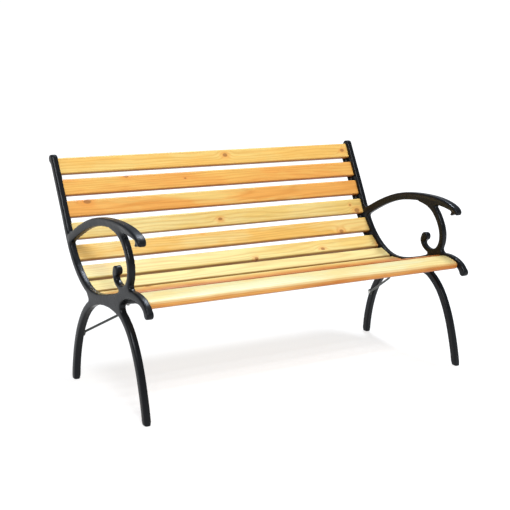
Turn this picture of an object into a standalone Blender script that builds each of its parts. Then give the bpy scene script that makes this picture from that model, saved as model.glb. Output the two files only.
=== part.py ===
"""Garden bench: two cast-iron end frames joined by twelve timber slats.

Metres, +Z up. X runs along the bench, -Y is the front, Z = 0 is the ground.
The shape of an end frame is drawn in the side plane, as (y, z) points in millimetres
measured from the heel of the rear foot, and moved to the bench's own origin at the end.
"""

import math

import bmesh
import bpy
from mathutils import Matrix, Vector

MM = 0.001

# Bench
FRAME_SPACING = 1.200  # between the middle planes of the two end frames
DEPTH_CENTRE = -0.1805  # the middle of the bench's depth, measured from the heel of the rear foot
GAP = 0.0003  # clearance between pieces that touch

# End frame: widths along X, depths in the side plane
RIM_WIDTH, RIM_DEPTH = 0.0220, 0.0240
ARM_WIDTH, ARM_DEPTH = 0.0220, 0.0240
CAP_WIDTH, CAP_DEPTH = 0.0300, 0.0120  # the flat rail on top of the arm
HOOK_WIDTH, HOOK_DEPTH = 0.0270, 0.0100
RING_WIDTH, RING_DEPTH = 0.0200, 0.0225
RING_ROOT_WIDTH = 0.0186
REAR_LEG_WIDTH, REAR_LEG_DEPTH = 0.0220, 0.0260
FRONT_LEG_WIDTH, FRONT_LEG_DEPTH = 0.0215, 0.0250
WEB_WIDTH = 0.0210
CHAMFER = 0.0035
OVERLAP = 0.0020  # how far joined parts of a casting run into each other

# Slat seat on the inner side of a frame, as distances behind the middle line of the rim
FLANGE_WIDTH, FLANGE_TOP = 0.0060, 0.0060
LEDGE_REACH, LEDGE_TOP, LEDGE_FOOT = 0.0155, 0.0210, 0.0260
LUG_REACH, LUG_LENGTH, LUG_THICKNESS = 0.0300, 0.0340, 0.0065
NOSING_LUG_LENGTH, NOSING_LUG_DROP = 0.0180, 0.0006  # shorter and lower, because the nosing is curved

# Slats
SLAT_WIDTH = 0.0570
BACK_THICKNESS, SEAT_THICKNESS = 0.0200, 0.0260
BACK_COUNT, BACK_START, BACK_PITCH = 6, 0.0040, 0.0742
SEAT_COUNT, SEAT_START, SEAT_PITCH = 5, 0.4470, 0.0695
NOSING_START, NOSING_END = 0.7945, 0.8640
NOSING_EASE = 0.0040  # the nosing's rear upper edge is cut back by this much
NOSING_REST = 0.0060  # the flat that meets the lug starts this far from the nosing's rear edge
SLAT_EDGE = 0.0060
SEAT_PLANE = 0.0200  # the slats' undersides, behind the middle line of the rim

# Fasteners
SCREW_RADIUS, SCREW_HEAD_RADIUS, SCREW_HEAD = 0.0025, 0.0050, 0.0035
SCREW_BITE = 0.0140  # how far a screw reaches into its slat
SCREW_POINT = 0.0040
SCREW_INSET = 0.0220  # from the inner face of the rim

# Stay rods
STAY_RADIUS, STAY_EYE_RADIUS, STAY_EYE = 0.0042, 0.0115, 0.0050
STAY_FOOT = (-42.0, 162.0)  # (y, z) of the lower eye, in millimetres
STAY_BEND = (-212.0, 257.5)  # where the rod turns up to the slat
STAY_BEND_REACH, STAY_REACH = 0.0540, 0.0620  # from the inner face of the leg, at the bend and at the end
STAY_SLAT, STAY_SHIFT = 3, -16.0  # the slat that it meets, and how far from that slat's middle line
STAY_BEND_RADIUS = 0.0140
BOLT_RADIUS, BOLT_HEAD_RADIUS, BOLT_HEAD, BOLT_BITE = 0.0030, 0.0060, 0.0040, 0.0120

# How finely the shapes are cut
DRILL_START = 0.0100  # a drill starts this far outside the face that it enters
MERGE = 0.00001
BAND_STEP = 28.0  # millimetres between the corners of a strip that follows the rail
BOARD_SAMPLES = 12
SCREW_SIDES, HOLE_SIDES, BOLT_SIDES, EYE_SIDES, BOSS_SIDES = 8, 8, 10, 14, 16

# Middle lines of the frame's limbs, (y, z) in millimetres
RAIL = (
    (152, 707), (62, 537), (6, 430), (-54, 362), (-126, 321), (-200, 314), (-290, 333),
    (-350, 352), (-402, 366), (-440, 371), (-480, 364.5), (-508, 350), (-523, 331),
)
ARM = (
    (12, 461), (-40, 490), (-100, 518), (-165, 541), (-230, 553), (-300, 558), (-360, 557),
    (-408, 552), (-440, 545), (-464, 538),
)
ARM_TAPER = (1.15, 1.10, 1.04, 1.0, 1.0, 1.0, 1.0, 0.92, 0.80, 0.66)
ARM_CAP = (
    (14, 471), (-36, 498), (-97, 526.5), (-163, 549.5), (-229, 562), (-300, 567), (-361, 566),
    (-410, 560), (-444, 551), (-466, 541.5), (-477, 531), (-476, 522),
)
ARM_CAP_TAPER = (0.76, 0.80, 0.84, 0.88, 0.92, 0.95, 1.0, 1.06, 1.10, 1.08, 0.96, 0.76)
ARM_HOOK = ((-467, 537), (-459, 526), (-447, 519))
ARM_HOOK_TAPER = (1.0, 0.95, 0.72)
RING = (
    (-285, 556), (-330, 545), (-366, 522), (-392, 489), (-407, 455), (-409, 424), (-400, 398),
    (-381, 381), (-355, 377), (-331, 383), (-315, 396), (-309, 411), (-312, 422),
)
RING_TAPER = (1.26, 1.18, 1.05, 1.0, 1.0, 0.97, 0.92, 0.84, 0.74, 0.66, 0.62, 0.62, 0.62)
# Round bosses along X that finish a limb: (y, z), radius and width
BOSSES = (
    ((-322.0, 424.0), 0.0152, 0.0220),  # the eye of the scroll
    ((-521.5, 333.0), 0.0135, 0.0224),  # the front end of the rim
    ((153.0, 699.5), 0.0145, 0.0226),  # the top of the upright
)
REAR_LEG = (
    (-12, -14), (-15, 40), (-22, 85), (-32, 125), (-48, 170), (-72, 213), (-103, 252),
    (-145, 284), (-185, 303),
)
REAR_LEG_TAPER = (1.0, 1.0, 1.0, 1.0, 1.0, 1.0, 1.0, 0.98, 0.88)
FRONT_LEG = (
    (-512, -14), (-502, 34), (-491, 75), (-478, 117), (-462, 160), (-440, 205), (-410, 250),
    (-372, 285), (-325, 310), (-290, 321),
)
FRONT_LEG_TAPER = (1.0, 1.0, 1.0, 1.0, 1.0, 1.0, 1.0, 1.0, 0.95, 0.88)
# Outlines of the flat parts between the limbs
WEB = (
    (-117, 261), (-145, 270), (-175, 284), (-210, 294), (-245, 299), (-280, 300), (-315, 295),
    (-345, 288), (-372, 283), (-364, 300), (-354, 320), (-360, 333), (-378, 346), (-402, 357),
    (-380, 362), (-335, 350), (-290, 334), (-235, 318), (-180, 314), (-128, 318), (-122, 308),
    (-140, 286),
)
RING_ROOT = (
    (-420, 380), (-405, 398), (-388, 386), (-368, 377), (-348, 369), (-340, 358), (-365, 356),
    (-400, 366),
)
SIDES = ((-1, "left"), (1, "right"))


def material(name, colour, roughness, metallic):
    made = bpy.data.materials.new(name)
    made.use_nodes = True
    shader = made.node_tree.nodes["Principled BSDF"]
    shader.inputs["Base Color"].default_value = (*colour, 1.0)
    shader.inputs["Roughness"].default_value = roughness
    shader.inputs["Metallic"].default_value = metallic
    made.diffuse_color = (*colour, 1.0)
    return made


def collection(name, hidden=False):
    made = bpy.data.collections.new(name)
    bpy.context.scene.collection.children.link(made)
    made.hide_render = hidden
    return made


def mesh_object(name, mesh, home, finish=None):
    made = bpy.data.objects.new(name, mesh)
    home.objects.link(made)
    if finish:
        mesh.materials.append(finish)
    if home is HELPERS:
        made.hide_render = True
        made.display_type = "WIRE"
    return made


def from_bmesh(name, shape, home, finish=None):
    bmesh.ops.recalc_face_normals(shape, faces=shape.faces)
    mesh = bpy.data.meshes.new(name)
    shape.to_mesh(mesh)
    shape.free()
    return mesh_object(name, mesh, home, finish)


def side_point(y_mm, z_mm, x=0.0):
    """A point of the side drawing, in the bench's own coordinates."""
    return Vector((x, y_mm * MM - DEPTH_CENTRE, z_mm * MM))


def smooth(points, steps):
    """A polyline on the smooth curve through the points (Catmull-Rom), as 2D vectors."""
    knots = [Vector(p) for p in points]
    knots = [2 * knots[0] - knots[1], *knots, 2 * knots[-1] - knots[-2]]
    line = []
    for a, b, c, d in zip(knots, knots[1:], knots[2:], knots[3:]):
        for k in range(steps):
            t = k / steps
            line.append(
                0.5 * (2 * b + (c - a) * t + (2 * a - 5 * b + 4 * c - d) * t**2
                       + (3 * b - a - 3 * c + d) * t**3)
            )
    return [*line, knots[-2]]


def blend(values, steps):
    """The values at the same places as smooth() puts its points."""
    line = []
    for a, b in zip(values, values[1:]):
        line += [a + (b - a) * k / steps for k in range(steps)]
    return [*line, values[-1]]


class Path:
    """A polyline in the side plane that is read by its length, in millimetres."""

    def __init__(self, points):
        self.points = points
        self.marks = [0.0]
        for a, b in zip(points, points[1:]):
            self.marks.append(self.marks[-1] + (b - a).length)

    def at(self, mark):
        k = max(i for i in range(len(self.points) - 1) if self.marks[i] <= max(mark, 0.0))
        a, b = self.points[k], self.points[k + 1]
        along = (b - a).normalized()
        return a + along * (mark - self.marks[k]), along

    def behind(self, mark, distance):
        """The point this far behind the line, on the side away from the sitter."""
        point, along = self.at(mark)
        return point + Vector((-along.y, along.x)) * distance


RAIL_PATH = Path(smooth(RAIL, 8))


def stand_up():
    """Turns a drawing in the XY plane into the side plane."""
    return Matrix(((0, 0, 1, 0), (1, 0, 0, 0), (0, 1, 0, 0), (0, 0, 0, 1)))


def curve_to_mesh(curve_object, name, home, finish=None):
    """The curve's solid as a mesh object whose vertices hold its place."""
    bpy.context.view_layer.update()
    graph = bpy.context.evaluated_depsgraph_get()
    mesh = bpy.data.meshes.new_from_object(curve_object.evaluated_get(graph))
    mesh.transform(curve_object.matrix_world)
    shape = bmesh.new()
    shape.from_mesh(mesh)
    bmesh.ops.remove_doubles(shape, verts=shape.verts, dist=MERGE)
    bpy.data.objects.remove(curve_object)
    bpy.data.meshes.remove(mesh)
    return from_bmesh(name, shape, home, finish)


def poly_curve(name, points, closed):
    curve = bpy.data.curves.new(name, "CURVE")
    curve.dimensions = "2D"
    spline = curve.splines.new("POLY")
    spline.points.add(len(points) - 1)
    for spot, point in zip(spline.points, points):
        spot.co = (point[0] * MM - DEPTH_CENTRE, point[1] * MM, 0.0, 1.0)
    spline.use_cyclic_u = closed
    return curve


def section(width, depth):
    """A chamfered rectangle, depth in the drawing's plane and width across it."""
    chamfer = min(CHAMFER, depth / 4)
    curve = bpy.data.curves.new("section", "CURVE")
    spline = curve.splines.new("POLY")
    corners = []
    for sx, sy in ((1, 1), (-1, 1), (-1, -1), (1, -1)):
        first = (sx * depth / 2, sy * (width / 2 - chamfer))
        second = (sx * (depth / 2 - chamfer), sy * width / 2)
        corners += [first, second] if sx * sy > 0 else [second, first]
    spline.points.add(len(corners) - 1)
    for spot, corner in zip(spline.points, corners):
        spot.co = (*corner, 0.0, 1.0)
    spline.use_cyclic_u = True
    return bpy.data.objects.new("section", curve)


def limb(name, points, steps, width, depth, x, taper=None, even_width=False):
    """A bar of chamfered section that is bent along the drawn line.

    The taper scales the section; with even_width, only its depth.
    """
    curve = poly_curve(name, smooth(points, steps), closed=False)
    curve.bevel_mode = "OBJECT"
    curve.bevel_object = section(width, depth)
    curve.use_fill_caps = True
    if taper:
        for spot, scale in zip(curve.splines[0].points, blend(taper, steps)):
            spot.radius = scale
    holder = bpy.data.objects.new(name, curve)
    HELPERS.objects.link(holder)
    holder.matrix_world = Matrix.Translation((x, 0, 0)) @ stand_up()
    profile = curve.bevel_object
    made = curve_to_mesh(holder, name, HELPERS)
    bpy.data.objects.remove(profile)
    if even_width:
        line = [side_point(*point, x) for point in smooth(points, steps)]
        scales = blend(taper, steps)
        for vertex in made.data.vertices:
            near = min(range(len(line)), key=lambda k: (line[k].yz - vertex.co.yz).length)
            vertex.co.x = x + (vertex.co.x - x) / scales[near]
    return made


def plate(name, points, x_from, x_to, home=None, finish=None):
    """A flat outline of the side drawing, thick from x_from to x_to."""
    curve = poly_curve(name, points, closed=True)
    curve.fill_mode = "BOTH"
    curve.extrude = abs(x_to - x_from) / 2
    holder = bpy.data.objects.new(name, curve)
    HELPERS.objects.link(holder)
    holder.matrix_world = Matrix.Translation(((x_from + x_to) / 2, 0, 0)) @ stand_up()
    return curve_to_mesh(holder, name, home or HELPERS, finish)


def band(name, first, last, near, far, x_from, x_to):
    """A strip that follows the rail between two distances behind its middle line."""
    count = max(2, round((last - first) / BAND_STEP))
    marks = [first + (last - first) * k / count for k in range(count + 1)]
    outline = [RAIL_PATH.behind(m, near) for m in marks]
    outline += [RAIL_PATH.behind(m, far) for m in reversed(marks)]
    return plate(name, outline, x_from, x_to)


def block(name, size, place, home, finish=None, edge=0.0, segments=2):
    """A box with its long edges, those along X, rounded."""
    shape = bmesh.new()
    bmesh.ops.create_cube(shape, size=1.0)
    bmesh.ops.scale(shape, vec=size, verts=shape.verts)
    if edge:
        long_edges = [e for e in shape.edges if abs((e.verts[0].co - e.verts[1].co).x) > size[0] / 2]
        bmesh.ops.bevel(
            shape, geom=long_edges, offset=edge, segments=segments, profile=0.5, affect="EDGES",
            material=-1,
        )
    bmesh.ops.transform(shape, matrix=place, verts=shape.verts)
    return from_bmesh(name, shape, home, finish)


def rod(name, start, end, radius, sides, home=None, finish=None):
    """A straight cylinder between two points."""
    shape = bmesh.new()
    along = end - start
    bmesh.ops.create_cone(
        shape, cap_ends=True, segments=sides, radius1=radius, radius2=radius, depth=along.length
    )
    turn = along.to_track_quat("Z", "Y").to_matrix().to_4x4()
    place = Matrix.Translation((start + end) / 2) @ turn
    bmesh.ops.transform(shape, matrix=place, verts=shape.verts)
    return from_bmesh(name, shape, home or HELPERS, finish)


def boolean(target, other, operation):
    step = target.modifiers.new(f"{operation.lower()} {other.name}", "BOOLEAN")
    step.operation = operation
    step.object = other
    step.solver = "EXACT"


def settle(target):
    """Applies the modifiers, so that the next step starts from the finished mesh."""
    bpy.context.view_layer.update()
    graph = bpy.context.evaluated_depsgraph_get()
    mesh = bpy.data.meshes.new_from_object(target.evaluated_get(graph))
    target.modifiers.clear()
    target.data = mesh


class Board:
    """Where a straight slat lies on the rail between two marks along it."""

    def __init__(self, start, width, thickness, lug_length=LUG_LENGTH, lug_drop=0.0):
        a = RAIL_PATH.behind(start, SEAT_PLANE / MM)
        b = RAIL_PATH.behind(start + width, SEAT_PLANE / MM)
        along = (b - a).normalized()
        back = Vector((-along.y, along.x))
        spots = [start + width * k / BOARD_SAMPLES for k in range(BOARD_SAMPLES + 1)]
        rise = max((a - RAIL_PATH.behind(s, SEAT_PLANE / MM)).dot(back) for s in spots)
        self.along = along
        self.back = back
        self.lug_length = lug_length
        self.lug_drop = lug_drop
        self.underside = (a + b) / 2 - back * rise
        self.middle = self.underside - back * thickness / 2

    def matrix(self, x, offset=0.0):
        """The slat's frame: X along the bench, Y across its width, Z out of its face."""
        spot = side_point(*(self.middle + self.back * offset), x)
        across = Vector((0, self.along.x, self.along.y))
        out = Vector((0, -self.back.x, -self.back.y))
        turn = Matrix((Vector((1, 0, 0)), across, out)).transposed().to_4x4()
        if turn.determinant() < 0:
            turn = Matrix((Vector((1, 0, 0)), -across, out)).transposed().to_4x4()
        return Matrix.Translation(spot) @ turn

    def drive(self, x, depth, shift=0.0):
        """A point on a screw's line, this far into the slat from its underside, in metres.

        The line is shift millimetres in front of the slat's middle line.
        """
        return side_point(*(self.underside + self.along * shift - self.back * depth / MM), x)


def all_boards():
    """Name, start, width and thickness of every straight slat."""
    rows = []
    for k in range(BACK_COUNT):
        rows.append((f"back_slat_{k + 1}", BACK_START + k * BACK_PITCH, BACK_THICKNESS))
    for k in range(SEAT_COUNT):
        rows.append((f"seat_slat_{k + 1}", SEAT_START + k * SEAT_PITCH, SEAT_THICKNESS))
    return [
        (name, Board(start / MM, SLAT_WIDTH / MM, thickness / MM), thickness)
        for name, start, thickness in rows
    ]


def build_frame(side, name, boards):
    """One casting: the limbs, the web, the slat seat and its lugs, drilled for the screws."""
    x = side * FRAME_SPACING / 2
    inner = x - side * RIM_WIDTH / 2
    frame = limb(f"{name}_rim", RAIL, 3, RIM_WIDTH, RIM_DEPTH, x)
    parts = [
        limb("arm", ARM, 2, ARM_WIDTH, ARM_DEPTH, x, ARM_TAPER),
        limb("arm_cap", ARM_CAP, 2, CAP_WIDTH, CAP_DEPTH, x, ARM_CAP_TAPER),
        limb("arm_hook", ARM_HOOK, 2, HOOK_WIDTH, HOOK_DEPTH, x, ARM_HOOK_TAPER),
        limb("ring", RING, 2, RING_WIDTH, RING_DEPTH, x, RING_TAPER, even_width=True),
        limb("rear_leg", REAR_LEG, 2, REAR_LEG_WIDTH, REAR_LEG_DEPTH, x, REAR_LEG_TAPER),
        limb("front_leg", FRONT_LEG, 2, FRONT_LEG_WIDTH, FRONT_LEG_DEPTH, x, FRONT_LEG_TAPER),
        plate("web", WEB, x - WEB_WIDTH / 2, x + WEB_WIDTH / 2),
        plate("ring_root", RING_ROOT, x - RING_ROOT_WIDTH / 2, x + RING_ROOT_WIDTH / 2),
    ]
    for spot, radius, width in BOSSES:
        centre = side_point(*spot, x)
        half = Vector((width / 2, 0, 0))
        parts.append(rod("boss", centre - half, centre + half, radius, BOSS_SIDES))
    last = NOSING_END / MM
    root = inner + side * FLANGE_WIDTH
    parts.append(band("flange", 1, last, FLANGE_TOP / MM, LEDGE_FOOT / MM - 1, root, inner))
    ledge_end = inner - side * LEDGE_REACH
    deep = inner + side * FLANGE_WIDTH / 2
    parts.append(band("ledge", 2, last - 1, LEDGE_TOP / MM, LEDGE_FOOT / MM, deep, ledge_end))
    for label, board, _ in boards:
        centre = inner - side * (LUG_REACH - FLANGE_WIDTH) / 2
        middle = board.underside + board.back * (GAP + board.lug_drop + LUG_THICKNESS / 2) / MM
        place = board.matrix(centre)
        place.translation = side_point(*middle, centre)
        size = (LUG_REACH + FLANGE_WIDTH - OVERLAP, board.lug_length, LUG_THICKNESS)
        parts.append(block(f"lug_{label}", size, place, HELPERS))
    for part in parts:
        boolean(frame, part, "UNION")
    settle(frame)
    ground_size = Vector((0.2, 2.0, 0.1))
    ground = Matrix.Translation((x, 0, -ground_size.z / 2))
    boolean(frame, block("ground", ground_size, ground, HELPERS), "DIFFERENCE")
    screw_x = inner - side * SCREW_INSET
    for label, board, _ in boards:
        start = board.drive(screw_x, -LUG_THICKNESS - DRILL_START)
        end = board.drive(screw_x, OVERLAP)
        boolean(frame, rod(f"hole_{label}", start, end, SCREW_RADIUS + GAP, HOLE_SIDES), "DIFFERENCE")
    foot = side_point(*STAY_FOOT, x)
    face = x - side * REAR_LEG_WIDTH / 2
    bore_start = Vector((face - side * DRILL_START, foot.y, foot.z))
    bore_end = Vector((face + side * (BOLT_BITE + GAP), foot.y, foot.z))
    bore = rod("bolt_bore", bore_start, bore_end, BOLT_RADIUS + GAP, BOLT_SIDES)
    boolean(frame, bore, "DIFFERENCE")
    settle(frame)
    HELPERS.objects.unlink(frame)
    BENCH.objects.link(frame)
    frame.hide_render = False
    frame.display_type = "TEXTURED"
    frame.name = name
    frame.data.materials.clear()
    frame.data.materials.append(IRON)


def stay_end():
    """How far from the bench's middle the upper end of a stay is."""
    return FRAME_SPACING / 2 - REAR_LEG_WIDTH / 2 - STAY_REACH


def slat_length():
    return FRAME_SPACING - RIM_WIDTH - 2 * GAP


def pilot_hole(slat, board, x, shift=0.0):
    start = board.drive(x, -DRILL_START, shift)
    end = board.drive(x, SCREW_BITE + GAP, shift)
    boolean(slat, rod(f"pilot_{slat.name}", start, end, SCREW_RADIUS + GAP, HOLE_SIDES), "DIFFERENCE")


def pilot_holes(slat, board):
    for side, _ in SIDES:
        pilot_hole(slat, board, side * (FRAME_SPACING / 2 - RIM_WIDTH / 2 - SCREW_INSET))
        if slat.name == f"seat_slat_{STAY_SLAT}":
            pilot_hole(slat, board, side * stay_end(), STAY_SHIFT)


def build_slat(name, board, thickness):
    size = (slat_length(), SLAT_WIDTH, thickness)
    slat = block(name, size, board.matrix(0.0), BENCH, TIMBER, SLAT_EDGE, segments=3)
    pilot_holes(slat, board)


def build_nosing(board):
    """The front board, shaped to the roll of the rail and rounded over its front edge."""
    top = (SEAT_PLANE - SEAT_THICKNESS) / MM
    bottom = (SEAT_PLANE - GAP) / MM
    first, last = NOSING_START / MM, NOSING_END / MM
    marks = [first + (last - first) * k / 6 for k in range(7)]
    ease = NOSING_EASE / MM
    outline = [RAIL_PATH.behind(first, top + ease)]
    outline += [RAIL_PATH.behind(m, top) for m in (first + ease, *marks[1:])]
    round_over = (bottom - top) / 2
    centre = RAIL_PATH.behind(last, top + round_over)
    _, along = RAIL_PATH.at(last)
    back = Vector((-along.y, along.x))
    for k in range(1, 8):
        angle = math.pi * k / 8
        outline.append(centre + (along * math.sin(angle) - back * math.cos(angle)) * round_over)
    outline += [RAIL_PATH.behind(m, bottom) for m in reversed(marks)]
    half = slat_length() / 2
    slat = plate("front_nosing", outline, -half, half, BENCH, TIMBER)
    pilot_holes(slat, board)


def lathe(name, profile, steps, place, finish):
    """A turned solid: the profile of (radius, height) spun about Z and then moved to its place."""
    shape = bmesh.new()
    spots = [shape.verts.new((radius, 0.0, height)) for radius, height in profile]
    edges = [shape.edges.new(pair) for pair in zip(spots, spots[1:])]
    bmesh.ops.spin(
        shape, geom=[*spots, *edges], cent=(0, 0, 0), axis=(0, 0, 1), angle=math.tau, steps=steps,
        use_merge=True,
    )
    bmesh.ops.remove_doubles(shape, verts=shape.verts, dist=MERGE)
    bmesh.ops.transform(shape, matrix=place, verts=shape.verts)
    from_bmesh(name, shape, BENCH, finish)


def build_screw(name, board, x, held, shift=0.0):
    """A round-head wood screw, driven through a piece that is held (metres) thick."""
    profile = (
        (0.0, -held - SCREW_HEAD),
        (SCREW_HEAD_RADIUS * 0.6, -held - SCREW_HEAD * 0.85),
        (SCREW_HEAD_RADIUS, -held - SCREW_HEAD * 0.35),
        (SCREW_HEAD_RADIUS, -held),
        (SCREW_RADIUS, -held),
        (SCREW_RADIUS, SCREW_BITE - SCREW_POINT),
        (0.0, SCREW_BITE),
    )
    into = board.drive(x, 1.0) - board.drive(x, 0.0)
    turn = into.to_track_quat("Z", "Y").to_matrix().to_4x4()
    place = Matrix.Translation(board.drive(x, 0.0, shift)) @ turn
    lathe(name, profile, SCREW_SIDES, place, STEEL)


def rounded_route(start, corner, end, reach, steps):
    """From start to end, turning smoothly within reach of the corner."""
    first = corner + (start - corner).normalized() * reach
    last = corner + (end - corner).normalized() * reach
    turn = []
    for k in range(steps + 1):
        t = k / steps
        turn.append(first * (1 - t) ** 2 + corner * 2 * t * (1 - t) + last * t**2)
    return [start, *turn, end]


def tube(name, route, radius):
    """A round bar along a route of points."""
    curve = bpy.data.curves.new(name, "CURVE")
    curve.dimensions = "3D"
    curve.bevel_depth = radius
    curve.bevel_resolution = 2
    curve.use_fill_caps = True
    spline = curve.splines.new("POLY")
    spline.points.add(len(route) - 1)
    for spot, point in zip(spline.points, route):
        spot.co = (*point, 1.0)
    holder = bpy.data.objects.new(name, curve)
    HELPERS.objects.link(holder)
    return curve_to_mesh(holder, name, HELPERS)


def build_stay(side, label, boards):
    """A bent rod with flat eyes, from the inside of a rear leg up to the underside of a slat."""
    face = side * (FRAME_SPACING / 2 - REAR_LEG_WIDTH / 2)
    across = Vector((side, 0, 0))
    low = side_point(*STAY_FOOT, face) - across * (GAP + STAY_EYE / 2)
    bend = side_point(*STAY_BEND, face - side * STAY_BEND_REACH)
    board = next(found for name, found, _ in boards if name == f"seat_slat_{STAY_SLAT}")
    x_top = side * stay_end()
    high = board.drive(x_top, -(GAP + STAY_EYE / 2), STAY_SHIFT)
    normal = (board.drive(x_top, 1.0) - board.drive(x_top, 0.0)).normalized()
    half = STAY_EYE / 2
    low_face = across * half
    high_face = normal * half
    stay = rod(
        f"{label}_stay", low - low_face, low + low_face, STAY_EYE_RADIUS, EYE_SIDES, BENCH, BLACK_STEEL
    )
    eye = rod("eye", high - high_face, high + high_face, STAY_EYE_RADIUS, EYE_SIDES)
    clear_low = BOLT_HEAD_RADIUS + STAY_RADIUS / 2
    clear_high = SCREW_HEAD_RADIUS + STAY_RADIUS + 2 * GAP
    run_low = bend - low
    run_high = bend - high
    start = low + (run_low - across * run_low.dot(across)).normalized() * clear_low
    start -= across * (STAY_RADIUS - half + GAP)
    end = high + (run_high - normal * run_high.dot(normal)).normalized() * clear_high
    route = rounded_route(start, bend, end, STAY_BEND_RADIUS, 4)
    boolean(stay, eye, "UNION")
    boolean(stay, tube("bar", route, STAY_RADIUS), "UNION")
    settle(stay)
    for centre, line, radius in ((low, across, BOLT_RADIUS + GAP), (high, normal, SCREW_RADIUS + 2 * GAP)):
        hole = rod("hole", centre - line * DRILL_START, centre + line * DRILL_START, radius, BOLT_SIDES)
        boolean(stay, hole, "DIFFERENCE")
    settle(stay)
    stay.data.materials.clear()
    stay.data.materials.append(BLACK_STEEL)
    build_screw(f"{label}_stay_screw", board, x_top, STAY_EYE + 2 * GAP, STAY_SHIFT)
    build_bolt(side, f"{label}_stay_bolt", low)


def build_bolt(side, name, eye):
    """A hexagon-head bolt through the stay's lower eye into the leg."""
    seat = eye - Vector((side, 0, 0)) * (STAY_EYE / 2 + GAP)
    out = Vector((-side, 0, 0))
    bolt = rod(name, seat, seat + out * BOLT_HEAD, BOLT_HEAD_RADIUS, 6, BENCH, STEEL)
    shank_end = seat - out * (STAY_EYE + 2 * GAP + BOLT_BITE)
    shank = rod("shank", seat + out * BOLT_HEAD / 2, shank_end, BOLT_RADIUS, BOLT_SIDES)
    boolean(bolt, shank, "UNION")
    settle(bolt)
    bolt.data.materials.clear()
    bolt.data.materials.append(STEEL)


def main():
    boards = all_boards()
    rest_start = (NOSING_START + NOSING_REST) / MM
    rest_width = (SLAT_WIDTH - NOSING_REST) / MM
    nosing = Board(rest_start, rest_width, SEAT_THICKNESS / MM, NOSING_LUG_LENGTH, NOSING_LUG_DROP)
    carried = [*boards, ("front_nosing", nosing, SEAT_THICKNESS)]
    for side, label in SIDES:
        build_frame(side, f"{label}_frame", carried)
    for name, board, thickness in boards:
        build_slat(name, board, thickness)
    build_nosing(nosing)
    for side, label in SIDES:
        x = side * (FRAME_SPACING / 2 - RIM_WIDTH / 2 - SCREW_INSET)
        for name, board, _ in carried:
            held = LUG_THICKNESS + board.lug_drop + 2 * GAP
            build_screw(f"{label}_screw_{name}", board, x, held)
        build_stay(side, label, boards)


for old in list(bpy.data.objects):
    bpy.data.objects.remove(old)
BENCH = collection("garden_bench")
HELPERS = collection("helpers", hidden=True)
IRON = material("cast_iron", (0.015, 0.015, 0.017), 0.45, 0.3)
TIMBER = material("varnished_timber", (0.85, 0.52, 0.18), 0.35, 0.0)
STEEL = material("zinc_steel", (0.35, 0.36, 0.36), 0.4, 0.9)
BLACK_STEEL = material("black_steel", (0.02, 0.02, 0.022), 0.4, 0.5)
main()
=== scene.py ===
# %% [markdown]
# # A slatted garden bench
#
# Two end frames are cast in iron: each is one piece, with a tall upright, a curved seat rail, an arm that
# rolls over into a scroll, and two bowed legs. Twelve timber boards run between them. This lesson starts
# from the engineer's solids, which fix every size and place, and gives each piece its finished surface.

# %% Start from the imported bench
import math

import bmesh
import bpy
import numpy as np
from mathutils import Matrix, Vector


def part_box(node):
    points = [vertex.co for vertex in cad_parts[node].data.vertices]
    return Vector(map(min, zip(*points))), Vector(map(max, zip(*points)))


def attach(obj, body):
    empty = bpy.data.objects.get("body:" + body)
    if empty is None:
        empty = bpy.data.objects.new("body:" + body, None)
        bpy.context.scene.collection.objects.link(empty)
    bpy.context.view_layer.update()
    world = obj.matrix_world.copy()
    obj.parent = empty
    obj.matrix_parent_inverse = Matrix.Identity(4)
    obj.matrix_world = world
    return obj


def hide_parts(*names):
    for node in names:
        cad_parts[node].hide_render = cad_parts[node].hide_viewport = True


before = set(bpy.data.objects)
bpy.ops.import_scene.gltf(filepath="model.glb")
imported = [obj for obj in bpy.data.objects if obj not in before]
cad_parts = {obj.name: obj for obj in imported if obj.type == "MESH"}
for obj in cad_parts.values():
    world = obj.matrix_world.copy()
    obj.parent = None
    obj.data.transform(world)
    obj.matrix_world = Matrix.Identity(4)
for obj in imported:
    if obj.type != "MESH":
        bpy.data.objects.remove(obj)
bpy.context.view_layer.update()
scene = bpy.context.scene
IRON_FRAMES = ("left_frame", "right_frame")
STAYS = ("left_stay", "right_stay")
BOARDS = [name for name in sorted(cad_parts) if "slat" in name and "screw" not in name]
SCREWS = [name for name in sorted(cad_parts) if "screw" in name]
BOLTS = [name for name in sorted(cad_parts) if name.endswith("bolt")]

# %% [markdown]
# ## A few short words for building materials
#
# A material is a small network of nodes. Writing each node and link in full makes long, dull code, so
# these helpers add a node, set its fixed values and wire its inputs in one line.

# %% Node helpers
def node(tree, kind, inputs=None, **settings):
    """Adds a node; inputs maps a socket's name or number to a value or to another node's output."""
    made = tree.nodes.new(kind)
    for name, value in settings.items():
        setattr(made, name, value)
    for socket, value in (inputs or {}).items():
        if isinstance(value, bpy.types.NodeSocket):
            tree.links.new(value, made.inputs[socket])
        else:
            made.inputs[socket].default_value = value
    return made


def maths(tree, operation, a, b=0.0, c=0.0, clamp=False):
    made = node(tree, "ShaderNodeMath", {0: a, 1: b, 2: c}, operation=operation, use_clamp=clamp)
    return made.outputs[0]


def vector_maths(tree, operation, a, b=(0.0, 0.0, 0.0), output=0):
    made = node(tree, "ShaderNodeVectorMath", {0: a, 1: b}, operation=operation)
    return made.outputs[output]


def between(tree, value, low, high, to_low=0.0, to_high=1.0):
    """Turns a range of values smoothly into another range."""
    made = node(
        tree, "ShaderNodeMapRange",
        {"Value": value, "From Min": low, "From Max": high, "To Min": to_low, "To Max": to_high},
        interpolation_type="SMOOTHSTEP",
    )
    return made.outputs["Result"]


def mix_colour(tree, share, first, second, how="MIX"):
    made = node(tree, "ShaderNodeMix", {0: share, 6: first, 7: second}, data_type="RGBA", blend_type=how)
    return made.outputs[2]


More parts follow.
